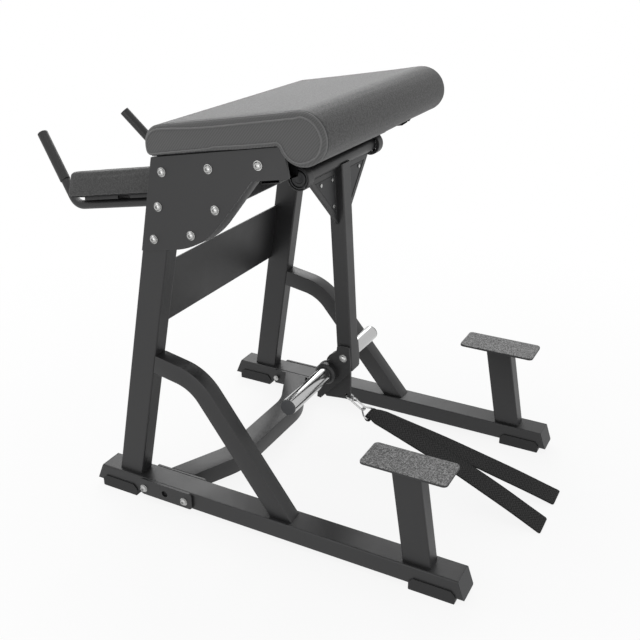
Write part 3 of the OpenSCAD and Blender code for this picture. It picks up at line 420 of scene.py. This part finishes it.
def stuff(piece, voxel, swell, cap):
    """Foam under its cover: remeshed, filled out, blown up as cloth, and held to the cap."""
    pick(piece)
    piece.data.remesh_voxel_size = voxel
    bpy.ops.object.voxel_remesh()
    relax(piece, 5)
    bpy.ops.object.shade_smooth()
    normals = normals_of(piece)
    start = points_of(piece)
    # the swell dies away over the last 14 mm before each end panel, and on the underside
    half = np.abs(start[:, 1]).max()
    inward = np.clip((half - np.abs(start[:, 1])) / 0.014, 0, 1)
    free = np.clip(normals[:, 2] + 1.15, 0, 1)
    filled = start + normals * (swell * inward * (2 - inward) * free)[:, None] * [1, 0, 1]
    slack = 0.0015
    piece.data.vertices.foreach_set("co", (filled - normals * slack).ravel())
    cloth = piece.modifiers.new("cover", "CLOTH")
    cover = cloth.settings
    cover.quality = 6
    cover.mass = 0.4
    cover.tension_stiffness = cover.compression_stiffness = 60
    cover.shear_stiffness = 40
    cover.bending_stiffness = 4
    cover.use_pressure = True
    cover.uniform_pressure_force = 4
    cover.effector_weights.gravity = 0
    cloth.point_cache.frame_start = 1
    cloth.point_cache.frame_end = 20
    for step in range(1, 21):
        bpy.context.scene.frame_set(step)
    bpy.ops.object.modifier_apply(modifier="cover")
    bpy.context.scene.frame_set(1)
    relax(piece, 6)
    move = points_of(piece) - filled
    far = np.linalg.norm(move, axis=1, keepdims=True)
    move *= np.minimum(1.0, cap / np.maximum(far, 1e-9))
    piece.data.vertices.foreach_set("co", (filled + move).ravel())
    piece.data.update()


def sew(piece, seam_y, body):
    """A seam round the section at seam_y: a groove in the cushion and a raised welt in it."""
    groove, groove_width = 0.0022, 0.0045
    points = points_of(piece)
    depth = groove * np.exp(-(((points[:, 1] - seam_y) / groove_width) ** 2))
    piece.data.vertices.foreach_set("co", (points - normals_of(piece) * depth[:, None]).ravel())
    piece.data.update()
    ring = bmesh.new()
    ring.from_mesh(piece.data)
    cut = bmesh.ops.bisect_plane(
        ring, geom=ring.verts[:] + ring.edges[:] + ring.faces[:], plane_co=(0, seam_y, 0), plane_no=(0, 1, 0)
    )
    # the cut's outline is kept, but for the flat underside behind the roll, where it is glued
    line = {e for e in cut["geom_cut"] if isinstance(e, bmesh.types.BMEdge)}
    roll_back = max(v.co.x for v in ring.verts) - 0.135
    glued = {e for e in line if all(v.normal.z < -0.5 and v.co.x < roll_back for v in e.verts)}
    bmesh.ops.delete(ring, geom=ring.faces[:], context="FACES_ONLY")
    bmesh.ops.delete(ring, geom=[e for e in ring.edges if e not in line or e in glued], context="EDGES")
    bmesh.ops.delete(ring, geom=[v for v in ring.verts if not v.link_edges], context="VERTS")
    welt = new_piece(f"{piece.name}_welt_{seam_y * 1000:.0f}", bpy.data.meshes.new("welt"))
    ring.to_mesh(welt.data)
    ring.free()
    bpy.ops.object.convert(target="CURVE")
    welt.data.bevel_depth = 0.0026
    welt.data.bevel_resolution = 3
    bpy.ops.object.convert(target="MESH")
    bpy.ops.object.shade_smooth()
    welt.data.materials.clear()
    welt.data.materials.append(painted_highlight_piping)
    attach(welt, body)


def cushion(node, name, voxel, swell, cap, seam_in):
    """One node's cushions: stuffed, refined, its end panels ribbed and its seams sewn."""
    piece = copy_of(node, name)
    piece.data.materials.clear()
    stuff(piece, voxel, swell, cap)
    pick(piece)
    finer = piece.modifiers.new("finer", "SUBSURF")
    finer.levels = finer.render_levels = 1
    bpy.ops.object.modifier_apply(modifier="finer")
    piece.data.materials.append(pebbled)
    piece.data.materials.append(ribbed)
    # the seams' distances in from each end are in metres; beyond the first the cloth is ribbed
    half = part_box(node)[1].y
    for seam in seam_in:
        sew(piece, half - seam, "frame")
        sew(piece, seam - half, "frame")
    for polygon in piece.data.polygons:
        if seam_in and abs(polygon.center.y) > half - seam_in[0]:
            polygon.material_index = 1
    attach(piece, "frame")
    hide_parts(node)


cushion("main_pad", "main_cushion", 0.006, 0.0045, 0.0015, [0.0135, 0.0035])
cushion("forearm_pads", "forearm_cushions", 0.006, 0.0, 0.002, [])


# ---- Ankle straps ----------------------------------------------------------------------
# Doubled black webbing, woven in a fine herringbone, sewn round the bar of the strap ring.
# The weave is about 2 mm: drawn at 11 mm so that it shows.
def webbing_finish():
    finish, tree, shader, where = new_finish("woven_webbing")
    cloth = add(tree, "ShaderNodeSeparateXYZ", {0: add(tree, "ShaderNodeTexCoord").outputs["UV"]})
    along, across = cloth.outputs[0], cloth.outputs[1]
    fold = add(tree, "ShaderNodeMath", {0: across, 1: 0.0143}, operation="PINGPONG")
    twill = add(tree, "ShaderNodeMath", {0: along, 1: fold}, operation="ADD")
    yarn = add(tree, "ShaderNodeMath", {0: twill, 1: 0.0055}, operation="PINGPONG")
    height = add(tree, "ShaderNodeMapRange", {0: yarn, 1: 0.0, 2: 0.0050, 3: 0.0, 4: 1.0})
    fuzz = add(tree, "ShaderNodeTexNoise", {"Vector": where, "Scale": 700.0, "Detail": 2.0})
    level = add(tree, "ShaderNodeMath", {0: height, 1: fuzz}, operation="MULTIPLY")
    middle = add(tree, "ShaderNodeMath", {0: across}, operation="ABSOLUTE")
    # the selvedges, the last 4 mm of each side, are drawn darker
    selvedge = add(tree, "ShaderNodeMapRange", {0: middle, 1: 0.037, 2: 0.040, 3: 1.0, 4: 0.35})
    share = add(tree, "ShaderNodeMath", {0: level, 1: selvedge}, operation="MULTIPLY")
    body = add(tree, "ShaderNodeMix", {0: share, 6: linear("#0c0c0c"), 7: linear("#484848")}, data_type="RGBA")
    bump = add(tree, "ShaderNodeBump", {"Strength": 0.6, "Distance": 0.0008, "Height": height})
    plug(tree, shader, {"Base Color": body, "Roughness": 0.85, "Specular IOR Level": 0.25, "Normal": bump})
    return finish


webbing = webbing_finish()
# the ring's bar that the straps go round, and a strap's reach, half width at its end and at the
# bar, thickness and corner radius, all in metres
BAR = Vector((0.24734, 0.0, 0.22205))
REACH, HALF_WIDTH, NECK, THICK, CORNER = 0.591, 0.043, 0.0262, 0.004, 0.007


def strap_line(eye_middle, rise):
    """Side view of a strap's middle: round the bar, then down to the floor, as (x, z)."""
    off_floor = 0.0005
    drop = BAR.z - THICK / 2 - off_floor
    dip = math.atan((drop + eye_middle - rise * math.pi) / REACH)
    line = []
    for turn in range(260, 0, -10):
        angle = math.radians(90 + turn) - dip
        line.append((eye_middle * math.cos(angle), eye_middle * math.sin(angle)))
    start = eye_middle / math.cos(dip)
    for step in range(0, 121):
        t = step / 120
        t = 1 - (1 - t) ** 1.5
        line.append((REACH * t, start * (1 - t) - drop * t + rise * math.sin(math.pi * t)))
    return line


def ankle_strap(name, node, eye_middle, rise, drift):
    """One strap from its side line: flared to full width, rippled, its end corners rounded."""
    line = strap_line(eye_middle, rise)
    selvedge = 0.965
    across = [-1, -0.99, -selvedge, -0.8, -0.5, -0.2, 0, 0.2, 0.5, 0.8, selvedge, 0.99, 1]
    spots, weave, run = [], [], 0.0
    for i, (x, z) in enumerate(line):
        before, after = line[max(i - 1, 0)], line[min(i + 1, len(line) - 1)]
        tangent = Vector((after[0] - before[0], 0, after[1] - before[1])).normalized()
        normal = Vector((-tangent.z, 0, tangent.x))
        if i:
            run += math.dist(line[i - 1], line[i])
        # the first 26 points go round the bar; from 6 mm past it the strap flares over 30 mm
        flat = max(x, 0.0) if i > 25 else 0.0
        widen = min(max((flat - 0.006) / 0.030, 0.0), 1.0)
        half = NECK + (HALF_WIDTH - NECK) * math.sin(math.pi / 2 * widen)
        left = max(REACH - flat, 0.0)
        if left < CORNER:
            half += math.sqrt(max(CORNER**2 - (CORNER - left) ** 2, 0)) - CORNER
        middle = drift * flat / REACH
        for face in (1, -1):
            for k in across[::face]:
                thin = THICK / 2 * (1 - 0.8 * max(abs(k) - selvedge, 0) / (1 - selvedge))
                ripple = 0.0004 * math.sin(run * 26 + k)
                spots.append(BAR + Vector((x, middle + k * half, z)) + normal * (face * thin * 0.98 + ripple))
                weave.append((run, k * half))
    girth = 2 * len(across)
    faces = [range(girth)[::-1], range(len(spots) - girth, len(spots))]
    for first in range(0, len(spots) - girth, girth):
        for j in range(girth):
            a, b = first + j, first + (j + 1) % girth
            faces.append((a, b, b + girth, a + girth))
    strap = new_piece(name, bpy.data.meshes.new(name))
    strap.data.from_pydata(spots, [], faces)
    uv = strap.data.uv_layers.new(name="UVMap")
    for corner in strap.data.loops:
        uv.uv[corner.index].vector = weave[corner.vertex_index]
    open_up("VERT", "SELECT")
    bpy.ops.mesh.normals_make_consistent(inside=False)
    bpy.ops.object.mode_set(mode="OBJECT")
    strap.data.materials.append(webbing)
    bpy.ops.object.shade_smooth_by_angle(angle=math.radians(40))
    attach(strap, "straps")
    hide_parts(node)


ankle_strap("ankle_strap_far", "ankle_strap_left", 0.0053, 0.008, 0.143)
ankle_strap("ankle_strap_near", "ankle_strap_right", 0.0096, 0.013, -0.019)


# ---- Strap ring ------------------------------------------------------------------------
# One bent and welded round bar, chromed, with the inside radii that the bending leaves.
def strap_ring():
    drop = math.radians(32)
    # corners of the bar's middle line, in mm: away from the hook, and across; each is bent
    # over its last 5 mm
    corners = [(0, -7), (0, 7), (20, 30), (34, 30), (34, -30), (20, -30)]
    bend, bar_at = 5, 0.034
    path = []
    for i, corner in enumerate(corners):
        here = Vector(corner)
        back = (Vector(corners[i - 1]) - here).normalized()
        on = (Vector(corners[(i + 1) % len(corners)]) - here).normalized()
        for step in range(7):
            t = step / 6
            from_back, to_next = (1 - t) ** 2 * (here + back * bend), t * t * (here + on * bend)
            path.append(from_back + 2 * t * (1 - t) * here + to_next)
    start = BAR - Vector((bar_at * math.cos(drop), 0, -bar_at * math.sin(drop)))
    curve = bpy.data.curves.new("strap_ring_bent", "CURVE")
    curve.dimensions = "3D"
    curve.bevel_depth = 0.003
    curve.bevel_resolution = 6
    spline = curve.splines.new("POLY")
    spline.points.add(len(path) - 1)
    for point, (x, y) in zip(spline.points, path):
        spot = start + Vector((x * math.cos(drop), y, -x * math.sin(drop))) / 1000
        point.co = (spot.x, start.y + y / 1000, spot.z, 1)
    spline.use_cyclic_u = True
    ring = new_piece("strap_ring_bent", curve)
    bpy.ops.object.convert(target="MESH")
    bpy.ops.object.shade_smooth()
    ring.data.materials.append(chrome)
    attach(ring, "straps")
    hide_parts("strap_ring")


strap_ring()


# ---- Studio ----------------------------------------------------------------------------
# Pale floor that runs into a white background, soft overhead light, one camera.
def seen_rays(tree):
    """1 for what the camera, a reflection or a refraction sees, and 0 for light that falls."""
    rays = add(tree, "ShaderNodeLightPath").outputs
    seen = add(tree, "ShaderNodeMath", {0: rays["Is Camera Ray"], 1: rays["Is Glossy Ray"]}, operation="MAXIMUM")
    return add(tree, "ShaderNodeMath", {0: seen, 1: rays["Is Transmission Ray"]}, operation="MAXIMUM")


def studio_floor():
    bpy.ops.object.select_all(action="DESELECT")
    bpy.ops.mesh.primitive_plane_add(size=60, location=(0, 0, 0))
    floor = bpy.context.object
    floor.name = "studio_floor"
    finish, tree, shader, where = new_finish("pale_floor")
    plug(tree, shader, {"Base Color": linear("#f4f4f4"), "Roughness": 0.9, "Specular IOR Level": 0.0})
    white = add(tree, "ShaderNodeEmission", {"Color": (1, 1, 1, 1), "Strength": 1.0})
    # the floor runs into the white background between 0.9 m and 2.4 m from the middle
    away = add(tree, "ShaderNodeVectorMath", {0: where}, operation="LENGTH").outputs["Value"]
    fade = add(tree, "ShaderNodeMapRange", {0: away, 1: 0.9, 2: 2.4, 3: 0.88, 4: 1.0})
    share = add(tree, "ShaderNodeMath", {0: seen_rays(tree), 1: fade}, operation="MULTIPLY")
    mix = add(tree, "ShaderNodeMixShader", {0: share, 1: shader, 2: white})
    plug(tree, tree.nodes["Material Output"], {"Surface": mix})
    floor.data.materials.append(finish)


studio_floor()

world = bpy.data.worlds.new("studio")
bpy.context.scene.world = world
world.use_nodes = True
sky = world.node_tree
# the sky lights the piece at half strength, and is white where it is seen
strength = add(sky, "ShaderNodeMapRange", {0: seen_rays(sky), 3: 0.5, 4: 1.0})
plug(sky, sky.nodes["Background"], {"Color": (1, 1, 1, 1), "Strength": strength})


def soft_light(name, place, target, size, watts):
    lamp = bpy.data.lights.new(name, "AREA")
    lamp.shape = "RECTANGLE"
    lamp.size, lamp.size_y = size
    lamp.energy = watts
    holder = bpy.data.objects.new(name, lamp)
    bpy.context.scene.collection.objects.link(holder)
    holder.location = place
    holder.rotation_mode = "QUATERNION"
    holder.rotation_quaternion = (Vector(target) - Vector(place)).to_track_quat("-Z", "Y")
    holder.visible_camera = False


soft_light("back_panel", (-2.2, 3.4, 3.0), (0, 0, 0.8), (3.0, 2.4), 72)
soft_light("top_panel", (-1.4, 0.2, 3.6), (0, 0, 0.9), (2.6, 2.6), 38)
soft_light("right_panel", (4.0, -0.4, 0.9), (0, 0, 0.5), (2.4, 1.6), 27)
soft_light("front_fill", (-0.4, -4.0, 1.0), (0, 0, 0.3), (3.0, 1.6), 30)

# The camera's place and lens were solved from the photograph's vertical and level edges, with
# the arm's pivot at x 0.022 m and z 1.031 m; the part's own frame lies a little off from that.
yaw, pitch, roll = (math.radians(a) for a in (27.723, 24.448, -0.118))
ahead = Vector((-math.sin(yaw) * math.cos(pitch), math.cos(yaw) * math.cos(pitch), -math.sin(pitch)))
right_level = Vector((math.cos(yaw), math.sin(yaw), 0))
up_level = Vector((-math.sin(yaw) * math.sin(pitch), math.cos(yaw) * math.sin(pitch), math.cos(pitch)))
right = math.cos(roll) * right_level + math.sin(roll) * up_level
up = -math.sin(roll) * right_level + math.cos(roll) * up_level
pivot_hint = next(j for j in frame["joints"] if j["name"] == "pendulum_swing")["pos_m"]
shift_x = pivot_hint[0] - 0.022
rail_underside = pivot_hint[2] - 1.031
lens = bpy.data.cameras.new("camera")
lens.sensor_width = 36.0
lens.lens = 49.484
camera = bpy.data.objects.new("camera", lens)
bpy.context.scene.collection.objects.link(camera)
turn = Matrix((right, up, -ahead)).transposed().to_4x4()
camera.matrix_world = Matrix.Translation((1.14777 + shift_x, -2.26029, 1.66465 + rail_underside)) @ turn
bpy.context.scene.camera = camera
bpy.context.scene.view_settings.view_transform = "Standard"
